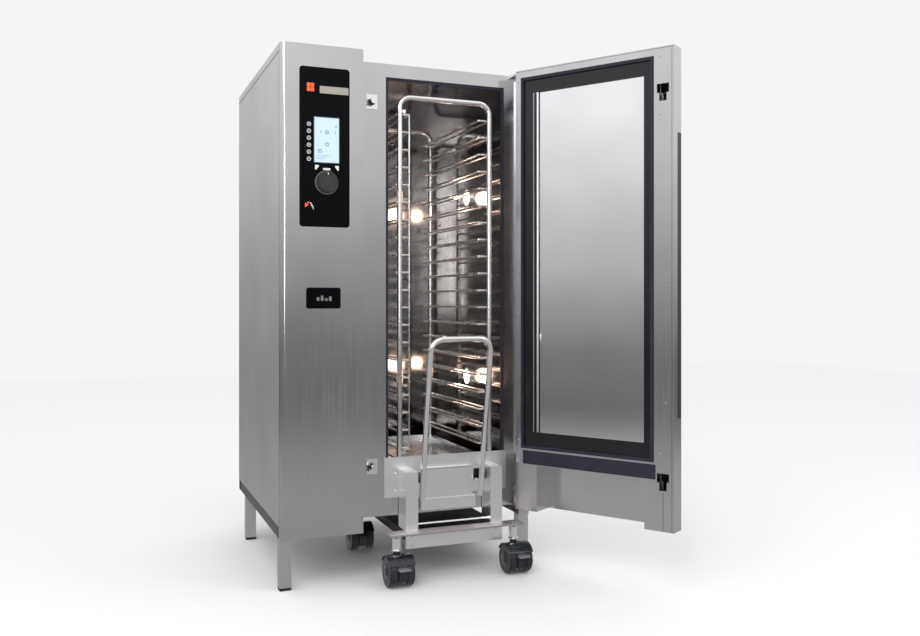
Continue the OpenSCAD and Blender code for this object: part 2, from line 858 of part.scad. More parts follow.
module door_gasket() {
    bulb = 10;
    gasket_z = [border_z[0] + 2, border_z[1] - 2];
    gasket_x = [border_x[0] + 2, border_x[1] - 2];
    color(rubber) on_door() {
        frame_y(gasket_x, [pane_y[1] + 4, main_y - gap - 0.1], gasket_z,
                [gasket_x[0] + bulb, gasket_x[1] - bulb],
                [gasket_z[0] + bulb, gasket_z[1] - bulb]);
        // flat lower seal that meets the trolley's shield
        span([border_x[0] - 5, border_x[1] - 10], [door_y[1] - 10, door_y[1] - 0.5],
             [pocket_top + 3, border_z[0] - 8]);
    }
}

module door_hinge_blocks() {
    color([0.5, 0.5, 0.52]) on_door()
        for (z = [door_z[0] + 1.5, door_z[1] - hinge_block - 1.5])
            difference() {
                span([hinge[0] - 18, hinge[0] + 8], [door_y[0] + 1.5, door_y[1] - 20],
                     [z, z + hinge_block]);
                rod_z([hinge[0], hinge[1], z - 1], pin_r + joint_clear, hinge_block + 2);
            }
}

module lock_bar() {
    bar_z = [latch_z[0] - 60, latch_z[1] + 40];
    color([0.6, 0.6, 0.62]) on_door()
        difference() {
            span([latch_x - bar_half, latch_x + bar_half], bar_y, bar_z);
            for (z = latch_z) {
                span([latch_x - 14.5, latch_x + 14.5], [bar_y[0] - 1, bar_y[1] + 1],
                     [z - 14, z + 15]);
                span([latch_x - 6.5, latch_x + 6.5], [bar_y[0] - 1, bar_y[1] + 1],
                     [z - 42, z]);
            }
        }
}

module door_handle() {
    color([0.2, 0.2, 0.22]) on_door() {
        rod_y([lever_x, door_y[0] - lever_out, lever_z], 8, lever_out + 12);
        rod_y([lever_x, door_y[0] - 10, lever_z], 19, 9.5);
        rod_y([lever_x, door_y[0] - lever_out - 8, lever_z], 15, 18);
        translate([lever_x, door_y[0] - lever_out + 1, lever_z]) rotate([0, 90, 0]) {
            cylinder(r = 9, h = lever_l - 20);
            translate([0, 0, 30]) cylinder(r = 13, h = lever_l - 50);
        }
    }
}

// ---- trolley ----

module trolley_chassis() {
    rail_half = 165;
    color([0.4, 0.4, 0.42]) placed() {
        for (side = [-1, 1])
            tube_y([mid_x + side * rail_half - 15, mid_x + side * rail_half + 15],
                   [frame_front + frame_t, stem_y[1] + 60], [beam_z - 30, beam_z], tube_wall);
        // pan between the rails
        span([mid_x - rail_half + 15 - tube_wall, mid_x + rail_half - 15 + tube_wall],
             [frame_front + frame_t, stem_y[1] + 60], [beam_z - tube_wall, beam_z]);
        // caster beams, slotted for the legs of the U frame
        difference() {
            for (y = stem_y)
                span([mid_x - caster_track / 2 - 30, mid_x + caster_track / 2 + 30],
                     [y - 30, y + 30], [beam_z, beam_z + beam_t]);
            for (x = [mid_x - frame_half, mid_x + frame_half - frame_leg])
                span([x - gap, x + frame_leg + gap],
                     [frame_front - gap, frame_front + frame_t + gap],
                     [beam_z - 1, beam_z + beam_t + 1]);
        }
        rod_x([mid_x - rail_half + 15, 150, beam_z - 15], 6, 2 * rail_half - 30);
    }
}

module trolley_u_frame() {
    outer = [mid_x - frame_half, mid_x + frame_half];
    color([0.78, 0.78, 0.78]) placed() {
        // front plate: two legs and the crossbar
        difference() {
            span(outer, [frame_front, frame_front + frame_t], frame_z);
            span([outer[0] + frame_leg, outer[1] - frame_leg], [frame_front - 1, frame_front + 10],
                 [frame_z[0] + crossbar_h, frame_z[1] + 1]);
        }
        // gussets from the legs back to the shield
        for (x = [outer[0], outer[0] + frame_leg - frame_t, outer[1] - frame_leg, outer[1] - frame_t])
            span([x, x + frame_t], [frame_front + frame_t, shield_y[0]],
                 [beam_z + beam_t, frame_z[1]]);
        // closed tops of the legs
        for (x = [outer[0], outer[1] - frame_leg])
            span([x + frame_t, x + frame_leg - frame_t], [frame_front + frame_t, shield_y[0]],
                 [frame_z[1] - frame_t, frame_z[1]]);
    }
}

peg_slot = [28, 40];                  // width and height of the slots the pegs drop into

module trolley_shield() {
    panel_x = [mid_x - 92, mid_x + 92];
    peg_bottom = handle_foot[2] + peg_z - peg_r;
    color([0.8, 0.8, 0.8]) placed() {
        difference() {
            union() {
                span([mid_x - shield_half, mid_x + shield_half], shield_y, shield_z);
                // raised centre panel with its lower drip lip
                span(panel_x, [shield_y[0] - 18, shield_y[0]],
                     [shield_z[0] - 10, pocket_top - 7]);
                span([panel_x[0] - 12, panel_x[1] + 12], [shield_y[0] - 22, shield_y[0]],
                     [shield_z[0] - 50, shield_z[0] - 10]);
            }
            for (side = [-1, 1])
                span([mid_x + side * handle_w / 2 - peg_r - 3,
                      mid_x + side * handle_w / 2 - peg_r - 3 + peg_slot[0]],
                     [shield_y[0] - 1, shield_y[1] + 1],
                     [peg_bottom - gap, peg_bottom - gap + peg_slot[1]]);
        }
    }
}

module rack_hoops() {
    color([0.75, 0.75, 0.76]) placed() {
        for (y = rack_y)
            translate([mid_x, y, rack_base_z[1]])
                hoop(rack_w, rack_top - rack_base_z[1] - rack_tube_d / 2, rack_tube_d, rack_bend);
        // base bars that carry the rack, welded to the shield
        for (side = [-1, 1])
            tube_y([mid_x + side * rack_w / 2 - 12.5, mid_x + side * rack_w / 2 + 12.5],
                   [shield_y[1], rack_y[1] + 14], rack_base_z, tube_wall);
        // eyes for the retaining rod
        for (z = eye_z)
            difference() {
                union() {
                    rod_z([pan_rod_x, rack_y[0], z], pan_rod_d / 2 + 3, 10);
                    span([pan_rod_x - 8, pan_rod_x - 3], [rack_y[0] - 3, rack_y[0] + 3],
                         [z, z + 10]);
                }
                rod_z([pan_rod_x, rack_y[0], z - 1], pan_rod_d / 2 + joint_clear, 12);
            }
    }
}

module rack_runners() {
    inner = rack_w / 2 - rack_tube_d / 2;
    color([0.8, 0.8, 0.8]) placed()
        for (side = [0, 1])
            translate([mid_x, 0, 0]) mirror([side, 0, 0])
                for (k = [0 : levels - 1])
                    translate([0, 0, level_z0 + k * level_pitch]) {
                        rod_y([inner - runner_in, rack_y[0] + 14, 0], runner_d / 2,
                              rack_l - 28);
                        for (y = [rack_y[0] + 14, rack_y[1] - 14])
                            rod_x([inner - runner_in, y, 0], runner_d / 2, runner_in + 16);
                        rod_y([inner + 16, rack_y[0] + 14, 0], runner_d / 2, rack_l - 28);
                    }
}

module drip_tray() {
    tray_x = [mid_x - 150, mid_x + 150];
    tray_y = [rack_y[0] + 14, rack_y[1] - 14];
    color([0.7, 0.7, 0.7]) placed() {
        difference() {
            span(tray_x, tray_y, [rack_base_z[1] - 18, rack_base_z[1] + 6]);
            span([tray_x[0] + 1.5, tray_x[1] - 1.5], [tray_y[0] + 1.5, tray_y[1] - 1.5],
                 [rack_base_z[1] - 16.5, rack_base_z[1] + 7]);
        }
        // ledges that rest on the base bars
        for (side = [0, 1])
            translate([mid_x, 0, 0]) mirror([side, 0, 0])
                span([150, rack_w / 2 + 8], [tray_y[0] + 10, tray_y[1] - 10],
                     [rack_base_z[1], rack_base_z[1] + 1.5]);
    }
}

module retaining_rod() {
    crank_z = [eye_z[0] + 16, eye_z[1] - 6];
    color([0.8, 0.8, 0.8]) placed() {
        for (z = [eye_z[0], eye_z[1] - 10])
            rod_z([pan_rod_x, rack_y[0], z], pan_rod_d / 2, 20);
        for (z = crank_z)
            rod_x([pan_rod_x, rack_y[0], z], pan_rod_d / 2, pan_rod_crank);
        rod_z([pan_rod_x + pan_rod_crank, rack_y[0], crank_z[0]], pan_rod_d / 2,
              crank_z[1] - crank_z[0]);
    }
}

module push_handle() {
    color([0.82, 0.82, 0.82]) placed()
        translate(handle_foot) {
            rotate([handle_lean, 0, 0])
                hoop(handle_w, handle_h / cos(handle_lean), handle_d, handle_bend);
            for (side = [-1, 1])
                rod_y([side * handle_w / 2, -peg_z * tan(handle_lean), peg_z], peg_r,
                      shield_y[1] - handle_foot[1] + peg_z * tan(handle_lean) - 0.5);
        }
}

// ---- casters ----

// Hood, neck and axle of a twin-wheel caster; the swivel axis is at the local origin
module caster(x, y) {
    color(dark) placed()
        translate([x, y, 0]) {
            difference() {
                union() {
                    rod_x([-hood_half, -caster_trail, wheel_r], hood_r, 2 * hood_half);
                    span([-hood_half, hood_half], [-caster_trail, 12], [wheel_r, wheel_r + 50]);
                }
                span([-60, 60], [-120, 40], [-10, 26]);
            }
            rod_x([-hood_half - wheel_w - 4, -caster_trail, wheel_r], 6,
                  2 * (hood_half + wheel_w + 4));
            for (side = [-1, 1])
                rod_x([side * (hood_half + wheel_w + 5) - 1.5, -caster_trail, wheel_r], 12, 3);
            rod_z([0, 0, wheel_r + 40], neck_r, beam_z - wheel_r - 40 - gap);
        }
}

module wheels(x, y) {
    color([0.09, 0.1, 0.11]) placed()
        translate([x, y - caster_trail, wheel_r])
            for (side = [-1, 1])
                difference() {
                    union() {
                        rod_x([side * (hood_half + 1 + wheel_w / 2) - wheel_w / 2, 0, 0],
                              wheel_r - 3, wheel_w);
                        rod_x([side * (hood_half + 1 + wheel_w / 2) - wheel_w / 2 + 4, 0, 0],
                              wheel_r, wheel_w - 8);
                    }
                    rod_x([side * (hood_half + 1 + wheel_w / 2) - wheel_w, 0, 0],
                          6 + joint_clear, 2 * wheel_w);
                }
}

pedal_rise = 20;
pedal_r = 4;
pedal_z = wheel_r + pedal_rise;
pedal_y = -sqrt(pow(hood_r + pedal_r + gap, 2) - pow(pedal_rise, 2));

module pedal(x, y) {
    color([0.25, 0.26, 0.28]) placed()
        translate([x, y - caster_trail, pedal_z]) {
            rod_x([-12, pedal_y, 0], pedal_r, 24);
            span([-20, 20], [pedal_y - 22, pedal_y - 2], [-3, 4]);
        }
}

caster_x = [mid_x - caster_track / 2, mid_x + caster_track / 2];

module caster_fl() { caster(caster_x[0], stem_y[0]); }
module caster_fr() { caster(caster_x[1], stem_y[0]); }
module caster_rl() { caster(caster_x[0], stem_y[1]); }
module caster_rr() { caster(caster_x[1], stem_y[1]); }
module wheels_fl() { wheels(caster_x[0], stem_y[0]); }
module wheels_fr() { wheels(caster_x[1], stem_y[0]); }
module wheels_rl() { wheels(caster_x[0], stem_y[1]); }
module wheels_rr() { wheels(caster_x[1], stem_y[1]); }
module pedal_fl() { pedal(caster_x[0], stem_y[0]); }
module pedal_fr() { pedal(caster_x[1], stem_y[0]); }

base_frame();
legs();
foot_pads();
inner_chassis();
left_panel();
right_panel();
rear_panel();
top_panels();
column_cover();
front_frame();
cavity_liner();
insulation();
throat_seal();
fan_baffle();
heating_elements();
fan_motors();
lamp_bezels();
lamp_lenses();
steam_generator();
control_electronics();
control_glass();
display_screen();
panel_icons();
latch_strikes();
hinge_brackets();
water_inlets();
drain_pipe();
cable_gland();
roof_vents();
fan_wheel_lower();
fan_wheel_upper();
encoder_shaft();
knob();
door_shell();
door_inner_frame();
door_glass_frame();
door_inner_glass();
door_outer_glass();
door_gasket();
door_hinge_blocks();
lock_bar();
door_handle();
trolley_chassis();
trolley_u_frame();
trolley_shield();
rack_hoops();
rack_runners();
drip_tray();
retaining_rod();
push_handle();
caster_fl();
caster_fr();
caster_rl();
caster_rr();
wheels_fl();
wheels_fr();
wheels_rl();
wheels_rr();
pedal_fl();
pedal_fr();
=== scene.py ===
"""Roll-in combi steamer oven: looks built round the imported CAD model. Metres."""
import json
import math

import bmesh
import bpy
from mathutils import Matrix, Vector


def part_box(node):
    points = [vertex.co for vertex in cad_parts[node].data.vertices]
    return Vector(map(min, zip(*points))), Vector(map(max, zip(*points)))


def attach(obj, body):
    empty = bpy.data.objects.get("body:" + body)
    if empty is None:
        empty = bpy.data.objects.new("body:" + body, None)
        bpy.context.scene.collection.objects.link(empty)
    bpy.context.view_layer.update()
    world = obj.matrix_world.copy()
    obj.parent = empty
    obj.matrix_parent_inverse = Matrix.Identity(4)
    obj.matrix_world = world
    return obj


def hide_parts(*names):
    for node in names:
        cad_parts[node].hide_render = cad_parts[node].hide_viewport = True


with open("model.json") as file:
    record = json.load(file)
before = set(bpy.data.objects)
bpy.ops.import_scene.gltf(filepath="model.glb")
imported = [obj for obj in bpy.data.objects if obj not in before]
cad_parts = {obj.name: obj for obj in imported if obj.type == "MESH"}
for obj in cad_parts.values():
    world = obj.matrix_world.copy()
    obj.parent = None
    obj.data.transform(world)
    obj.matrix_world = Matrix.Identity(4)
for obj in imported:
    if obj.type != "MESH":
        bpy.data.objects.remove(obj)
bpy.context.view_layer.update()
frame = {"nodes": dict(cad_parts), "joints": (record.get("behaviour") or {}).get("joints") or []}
nodes = frame["nodes"]
MM = 0.001

# The oven's own places in millimetres, as part.scad has them
BODY_RIGHT = 944
BODY_BACK = 930
OPENING_MID = 612
LATCH_Z = (392, 1675)
LAMP_Z = (665.7, 1396.8)
# Faces sharper than this stay sharp when a piece is shaded smooth
SHARP_DEG = 35

# ---- places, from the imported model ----

corner = Vector((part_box("left_panel")[0].x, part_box("column_cover")[0].y, 0))
hinge_joint = next(j for j in frame["joints"] if j["name"] == "door_hinge")
hinge_at = Vector(hinge_joint["pos_m"])
door_open = math.radians(-hinge_joint["range_deg"][0])
swing = (Matrix.Translation(hinge_at) @ Matrix.Rotation(door_open, 4, "Z")
         @ Matrix.Translation(-hinge_at))


def at(x, y, z):
    """A point in the oven's own millimetres, measured from its front left foot corner."""
    return corner + Vector((x, y, z)) * MM


# ---- camera and studio ----

# From a camera fitted to the photograph's edges
CAMERA_PLACE = (-584.1, -3072.7, 976.8)
CAMERA_YAW = -0.380
CAMERA_LENS = 36.1
CAMERA_SHIFT = -0.0192
BACKDROP_WHITE = 0.91

def make_camera():
    data = bpy.data.cameras.new("camera")
    data.sensor_width = 36
    data.lens = CAMERA_LENS
    data.shift_y = CAMERA_SHIFT
    cam = bpy.data.objects.new("camera", data)
    cam.location = at(*CAMERA_PLACE)
    cam.rotation_euler = (math.pi / 2, 0, CAMERA_YAW)
    bpy.context.scene.collection.objects.link(cam)
    bpy.context.scene.camera = cam


def area_light(name, where, target, size, power):
    data = bpy.data.lights.new(name, "AREA")
    data.shape = "RECTANGLE"
    data.size, data.size_y = size
    data.energy = power
    light = bpy.data.objects.new(name, data)
    light.location = where
    light.rotation_euler = (Vector(target) - Vector(where)).to_track_quat("-Z", "Y").to_euler()
    bpy.context.scene.collection.objects.link(light)


# Grey of the studio at each height, from straight down (-1) to straight up (1)
SKY = ((-1.0, 0.34), (-0.30, 0.42), (-0.17, 0.44), (-0.135, 0.22), (-0.115, 0.14),
       (-0.055, 0.19), (0.03, 0.43), (0.11, 0.62), (0.20, 0.88), (1.0, 1.0))


def make_world():
    """White behind the object; for reflections, a studio that is pale above and dim below."""
    world = bpy.data.worlds.new("studio")
    world.use_nodes = True
    tree = world.node_tree
    back = tree.nodes["Background"]
    where = tree.nodes.new("ShaderNodeTexCoord")
    split = tree.nodes.new("ShaderNodeSeparateXYZ")
    tree.links.new(where.outputs["Generated"], split.inputs[0])
    level = tree.nodes.new("ShaderNodeMapRange")
    level.inputs["From Min"].default_value = -1
    tree.links.new(split.outputs["Z"], level.inputs["Value"])
    ramp = tree.nodes.new("ShaderNodeValToRGB")
    while len(ramp.color_ramp.elements) < len(SKY):
        ramp.color_ramp.elements.new(0.5)
    for stop, (height, grey) in zip(ramp.color_ramp.elements, SKY):
        stop.position = (height + 1) / 2
        stop.color = (grey, grey, grey * 1.01, 1)
    tree.links.new(level.outputs["Result"], ramp.inputs["Fac"])
    path = tree.nodes.new("ShaderNodeLightPath")
    mix = tree.nodes.new("ShaderNodeMix")
    mix.data_type = "RGBA"
    colours = [i for i in mix.inputs if i.type == "RGBA"]
    colours[1].default_value = (BACKDROP_WHITE, BACKDROP_WHITE, BACKDROP_WHITE, 1)
    tree.links.new(ramp.outputs["Color"], colours[0])
    tree.links.new(path.outputs["Is Camera Ray"], mix.inputs["Factor"])
    tree.links.new([o for o in mix.outputs if o.type == "RGBA"][0], back.inputs["Color"])
    bpy.context.scene.world = world
    bpy.context.scene.view_settings.view_transform = "Standard"


# ---- materials ----

class Finish:
    """A Principled material with its node tree close at hand."""

    def __init__(self, name, colour, metallic=0.0, rough=0.5, **sockets):
        self.mat = bpy.data.materials.new(name)
        self.mat.use_nodes = True
        self.tree = self.mat.node_tree
        self.shader = self.tree.nodes["Principled BSDF"]
        self.colour = colour
        self.rough = rough
        self.set("Base Color", (*colour, 1))
        self.set("Metallic", metallic)
        self.set("Roughness", rough)
        for key, value in sockets.items():
            self.set(key.replace("_", " "), value)

    def set(self, socket, value):
        self.shader.inputs[socket].default_value = value

    def node(self, kind, **props):
        made = self.tree.nodes.new(kind)
        for key, value in props.items():
            setattr(made, key, value)
        return made

    def link(self, a, b):
        self.tree.links.new(a, b)

    def place(self, scale=(1, 1, 1)):
        where = self.node("ShaderNodeTexCoord")
        mapping = self.node("ShaderNodeMapping")
        mapping.inputs["Scale"].default_value = scale
        self.link(where.outputs["Object"], mapping.inputs["Vector"])
        return mapping.outputs["Vector"]

    def noise(self, scale, detail=4.0, stretch=(1, 1, 1), rough=0.55):
        made = self.node("ShaderNodeTexNoise")
        made.inputs["Scale"].default_value = scale
        made.inputs["Detail"].default_value = detail
        made.inputs["Roughness"].default_value = rough
        self.link(self.place(stretch), made.inputs["Vector"])
        return made.outputs["Fac"]

    def spread(self, fac, low, high, start=0.3, stop=0.7):
        made = self.node("ShaderNodeMapRange")
        made.inputs["From Min"].default_value = start
        made.inputs["From Max"].default_value = stop
        made.inputs["To Min"].default_value = low
        made.inputs["To Max"].default_value = high
        self.link(fac, made.inputs["Value"])
        return made.outputs["Result"]

    def tint(self, fac, low, high, start=0.3, stop=0.7):
        ramp = self.node("ShaderNodeValToRGB")
        ramp.color_ramp.elements[0].position = start
        ramp.color_ramp.elements[0].color = (*low, 1)
        ramp.color_ramp.elements[1].position = stop
        ramp.color_ramp.elements[1].color = (*high, 1)
        self.link(fac, ramp.inputs["Fac"])
        return ramp.outputs["Color"]

    def bump(self, fac, strength=0.1, distance=0.001):
        made = self.node("ShaderNodeBump")
        made.inputs["Strength"].default_value = strength
        made.inputs["Distance"].default_value = distance
        self.link(fac, made.inputs["Height"])
        self.link(made.outputs["Normal"], self.shader.inputs["Normal"])

    def vary(self, fac, amount, start=0.3, stop=0.7):
        low = [c * (1 - amount) for c in self.colour]
        high = [min(1, c * (1 + amount)) for c in self.colour]
        self.link(self.tint(fac, low, high, start, stop), self.shader.inputs["Base Color"])

    def vary_rough(self, fac, amount):
        self.link(self.spread(fac, self.rough - amount, self.rough + amount),
                  self.shader.inputs["Roughness"])


# Stretch of the brushed grain along X, Y and Z
UPRIGHT = (700, 700, 4)
LEVEL = (3, 3, 600)


def brushed(name, colour, rough, grain, depth=0.12, shade=0.09, **sockets):
    """Sheet steel with its grain along Z (UPRIGHT) or along the level (LEVEL)."""
    made = Finish(name, colour, 1.0, rough, **sockets)
    lines = made.noise(1.0, 3.0, grain)
    clouds = made.noise(2.2, 3.0)
    made.vary(clouds, shade)
    made.vary_rough(lines, 0.05)
    made.bump(lines, depth, 0.0002)
    return made


def polished(name, colour, rough=0.12, ripple=0.05, **sockets):
    """Smooth metal or mirror glass with faint smears, and waves unless ripple is 0."""
    made = Finish(name, colour, 1.0, rough, **sockets)
    smears = made.noise(9.0, 5.0)
    made.vary(made.noise(3.0, 2.0), 0.05)
    made.vary_rough(smears, rough * 0.45)
    if ripple:
        made.bump(made.noise(14.0, 2.0), ripple, 0.002)
    return made


def moulded(name, colour, rough=0.45, pebble=900.0, depth=0.15, **sockets):
    """Plastic, rubber or paint with a fine pebbled skin."""
    made = Finish(name, colour, 0.0, rough, **sockets)
    grain = made.noise(pebble, 2.0)
    made.vary(made.noise(14.0, 4.0), 0.18)
    made.vary_rough(made.noise(30.0, 4.0), 0.07)
    made.bump(grain, depth, 0.0003)
    return made


def make_materials():
    made = {}

    def keep(finish, *names):
        for name in names:
            for slot in range(max(1, len(nodes[name].data.materials))):
                if nodes[name].data.materials:
                    nodes[name].data.materials[slot] = finish.mat
                else:
                    nodes[name].data.materials.append(finish.mat)
        made[finish.mat.name] = finish
        return finish

    keep(brushed("column_steel", (0.61, 0.61, 0.615), 0.16, UPRIGHT), "column_cover",
         "front_frame")
    keep(brushed("panel_steel", (0.62, 0.62, 0.625), 0.42, UPRIGHT, 0.08), "left_panel",
         "right_panel", "rear_panel", "top_panels")
    keep(brushed("frame_dark", (0.16, 0.16, 0.18), 0.45, LEVEL), "base_frame")
    keep(brushed("leg_steel", (0.68, 0.68, 0.68), 0.36, UPRIGHT), "legs")
    keep(brushed("mill_steel", (0.52, 0.52, 0.54), 0.36, LEVEL), "inner_chassis",
         "steam_generator", "door_hinge_blocks", "drain_pipe", "roof_vents")
    keep(brushed("bracket_steel", (0.66, 0.66, 0.67), 0.3, LEVEL), "hinge_brackets")
    keep(moulded("pad_black", (0.012, 0.012, 0.014), 0.5), "foot_pads", "cable_gland")
    keep(polished("liner_steel", (0.40, 0.385, 0.38), 0.11, 0.02), "cavity_liner")
    keep(polished("baffle_steel", (0.45, 0.44, 0.43), 0.14, 0.02), "fan_baffle", "fan_wheel_lower",
         "fan_wheel_upper")
    keep(polished("runner_steel", (0.95, 0.93, 0.92), 0.30, 0.0), "rack_runners")
    keep(polished("rack_steel", (0.93, 0.93, 0.93), 0.16, 0.0), "rack_hoops",
         "retaining_rod", "push_handle", "latch_strikes", "lamp_bezels", "encoder_shaft")
    keep(brushed("tray_steel", (0.66, 0.66, 0.66), 0.25, LEVEL), "drip_tray")
    keep(brushed("trolley_steel", (0.97, 0.97, 0.97), 0.34, LEVEL, 0.03), "trolley_u_frame",
         "trolley_shield")
    # Trolley chassis steel is painted near-black as painted shade, with its top 5.5 mm painted
    # light as a painted highlight on the lit top edge
    chassis = keep(brushed("chassis_painted_shade", (0.05, 0.05, 0.06), 0.4, LEVEL), "trolley_chassis")
    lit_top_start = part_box("trolley_chassis")[1].z - 5.5 * MM
    split = chassis.node("ShaderNodeSeparateXYZ")
    chassis.link(chassis.place(), split.inputs[0])
    # Painted shade below the top 5.5 mm of the beams, painted highlight above it
    chassis.link(chassis.tint(chassis.spread(split.outputs["Z"], 0, 1, lit_top_start, lit_top_start + MM),
                              (0.035, 0.033, 0.038), (0.66, 0.60, 0.60), 0.45, 0.55),
                 chassis.shader.inputs["Base Color"])
    keep(brushed("door_steel", (0.66, 0.65, 0.66), 0.17, UPRIGHT), "door_shell",
         "door_inner_frame")
    keep(brushed("lock_steel", (0.35, 0.35, 0.37), 0.35, UPRIGHT), "lock_bar")
    keep(moulded("border_black", (0.008, 0.008, 0.010), 0.12, 300.0, 0.02),
         "door_glass_frame")
    keep(moulded("lever_black", (0.02, 0.02, 0.022), 0.38), "door_handle", "knob")
    keep(moulded("gasket_rubber", (0.022, 0.019, 0.034), 0.5, Specular_IOR_Level=0.3),
         "throat_seal", "door_gasket")
    keep(Finish("outer_glass", (0.05, 0.055, 0.06), 0.0, 0.04, Coat_Weight=0.5),
         "door_outer_glass")
    keep(Finish("panel_glass", (0.002, 0.002, 0.003), 0.0, 0.1, Specular_IOR_Level=0.08),
         "control_glass")
    keep(moulded("caster_shell", (0.010, 0.0125, 0.016), 0.2, 500.0, 0.03, Coat_Weight=0.25),
         "caster_fl", "caster_fr", "caster_rl", "caster_rr")
    keep(moulded("tread", (0.016, 0.018, 0.022), 0.34, 700.0), "wheels_fl", "wheels_fr",
         "wheels_rl", "wheels_rr")
    keep(moulded("pedal_grey", (0.16, 0.165, 0.17), 0.4), "pedal_fl", "pedal_fr")
    keep(brushed("brass", (0.62, 0.46, 0.20), 0.25, LEVEL), "water_inlets")
    keep(moulded("motor_paint", (0.05, 0.06, 0.07), 0.35, 400.0), "fan_motors")

    heater = keep(Finish("heater_sheath", (0.11, 0.09, 0.08), 0.9, 0.42), "heating_elements")
    heater.vary(heater.noise(12.0, 4.0), 0.5)
    heater.bump(heater.noise(260.0, 2.0), 0.2, 0.0004)

    wool = keep(Finish("mineral_wool", (0.55, 0.48, 0.30), 0.0, 0.95), "insulation")
    fibres = wool.noise(1.0, 8.0, (90, 300, 60))
    wool.vary(fibres, 0.35)
    wool.bump(fibres, 0.7, 0.004)

    board = keep(Finish("circuit_board", (0.02, 0.16, 0.07), 0.0, 0.35),
                 "control_electronics")
    cells = board.node("ShaderNodeTexVoronoi")
    cells.inputs["Scale"].default_value = 160
    board.link(board.place(), cells.inputs["Vector"])
    board.link(board.tint(cells.outputs["Distance"], (0.35, 0.36, 0.36), (0.02, 0.15, 0.07),
                          0.16, 0.2), board.shader.inputs["Base Color"])
    board.bump(cells.outputs["Distance"], 0.4, 0.001)

    lens = keep(Finish("lamp_lens", (1.0, 0.86, 0.78), 0.0, 0.15, Emission_Strength=4.0),
                "lamp_lenses")
    lens.set("Emission Color", (1.0, 0.72, 0.58, 1))
    lens.bump(lens.noise(140.0, 1.0), 0.3, 0.001)

    keep(polished("inner_glass", (0.93, 0.94, 0.95), 0.05, 0.0), "door_inner_glass")
    screen = keep(Finish("display_glow", (0.30, 0.36, 0.39), 0.0, 0.3, Emission_Strength=0.55),
                  "display_screen")
    screen.set("Emission Color", (0.66, 0.84, 0.95, 1))
    icons = keep(Finish("icon_print", (0.80, 0.78, 0.72), 0.0, 0.4), "panel_icons")
    icons.vary(icons.noise(60.0), 0.1)
    return made


# ---- mesh helpers; all places are in the oven's own millimetres ----


def rounded(a, b, r, steps=6):
    """Outline of a rectangle between two limits on each of two axes, with round corners."""
    points = []
    for cx, cy, turn in ((a[1] - r, b[1] - r, 0), (a[0] + r, b[1] - r, 90),
                         (a[0] + r, b[0] + r, 180), (a[1] - r, b[0] + r, 270)):
        for i in range(steps + 1):
            angle = math.radians(turn + 90 * i / steps)
            points.append((cx + r * math.cos(angle), cy + r * math.sin(angle)))
    return points


def circle(cx, cy, r, steps=32):
    return [(cx + r * math.cos(2 * math.pi * i / steps), cy + r * math.sin(2 * math.pi * i / steps))
            for i in range(steps)]


class Piece:
    """One visible piece: shapes are added in millimetres, then done() puts it on its body."""

    def __init__(self, name, body, slot, finish, swung=False):
        self.name, self.body, self.slot, self.finish = name, body, slot, finish
        self.swung = swung
        self.bm = bmesh.new()

    def loop(self, points):
        return [self.bm.verts.new(at(*p)) for p in points]

    def skin(self, loops, closed=False, caps=True):
        count = len(loops[0])
        pairs = list(zip(loops, loops[1:])) + ([(loops[-1], loops[0])] if closed else [])
        for low, high in pairs:
            for i in range(count):
                k = (i + 1) % count
                self.bm.faces.new((low[i], low[k], high[k], high[i]))
        if caps and not closed:
            self.bm.faces.new(loops[0][::-1])
            self.bm.faces.new(loops[-1])
        return self

    def flat_loop(self, outline, axis, w):
        """An outline in the two other axes, in their order, at the distance w along axis."""
        order = {"x": (2, 0, 1), "y": (0, 2, 1), "z": (0, 1, 2)}[axis]
        return self.loop([tuple((u, v, w)[k] for k in order) for u, v in outline])

    def prism(self, outline, axis, lo, hi):
        """An outline pulled along axis."""
        return self.skin([self.flat_loop(outline, axis, w) for w in (lo, hi)])

    def block(self, x, y, z):
        return self.prism([(x[0], z[0]), (x[1], z[0]), (x[1], z[1]), (x[0], z[1])], "y", *y)

    def plate(self, x, y, z, r):
        return self.prism(rounded(x, z, r), "y", *y)

    def frame(self, outer, inner, axis, lo, hi):
        """A flat ring between two outlines with as many points each."""
        loops = [self.flat_loop(outline, axis, w)
                 for outline, w in ((outer, lo), (outer, hi), (inner, hi), (inner, lo))]
        return self.skin(loops, closed=True)

    def lathe(self, profile, where, axis, steps=32):
        """(radius, height) pairs turned about axis, which runs out of the surface."""
        run = Vector(axis).normalized()
        side = run.orthogonal().normalized()
        other = run.cross(side)
        loops = []
        for radius, height in profile:
            centre = Vector(where) + run * height
            loops.append(self.loop([
                centre + side * radius * math.cos(2 * math.pi * i / steps)
                + other * radius * math.sin(2 * math.pi * i / steps) for i in range(steps)]))
        return self.skin(loops)

    def rod(self, start, end, r, steps=20):
        run = Vector(end) - Vector(start)
        return self.lathe([(r, 0), (r, run.length)], start, run, steps)

    def screw(self, where, axis, r=5.0):
        """A pan head with a socket in it."""
        return self.lathe([(r, 0), (r, 0.25 * r), (0.78 * r, 0.55 * r), (0.42 * r, 0.62 * r),
                           (0.36 * r, 0.28 * r)], where, axis, 20)

    def done(self, bevel=0.5, covers=()):
        bmesh.ops.recalc_face_normals(self.bm, faces=self.bm.faces)
        mesh = bpy.data.meshes.new(self.name)
        if self.swung:
            bmesh.ops.transform(self.bm, matrix=swing, verts=self.bm.verts)
        self.bm.to_mesh(mesh)
        self.bm.free()
        mesh.materials.append(self.finish.mat)
        piece = bpy.data.objects.new(self.name, mesh)
        bpy.context.scene.collection.objects.link(piece)
        mesh.polygons.foreach_set("use_smooth", [True] * len(mesh.polygons))
        mesh.set_sharp_from_angle(angle=math.radians(SHARP_DEG))
        if bevel:
            edges = piece.modifiers.new("edges", "BEVEL")
            edges.width = bevel * MM
            edges.segments = 2
            edges.limit_method = "ANGLE"
            edges.harden_normals = True
        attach(piece, self.body)
        if covers:
            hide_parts(*covers)


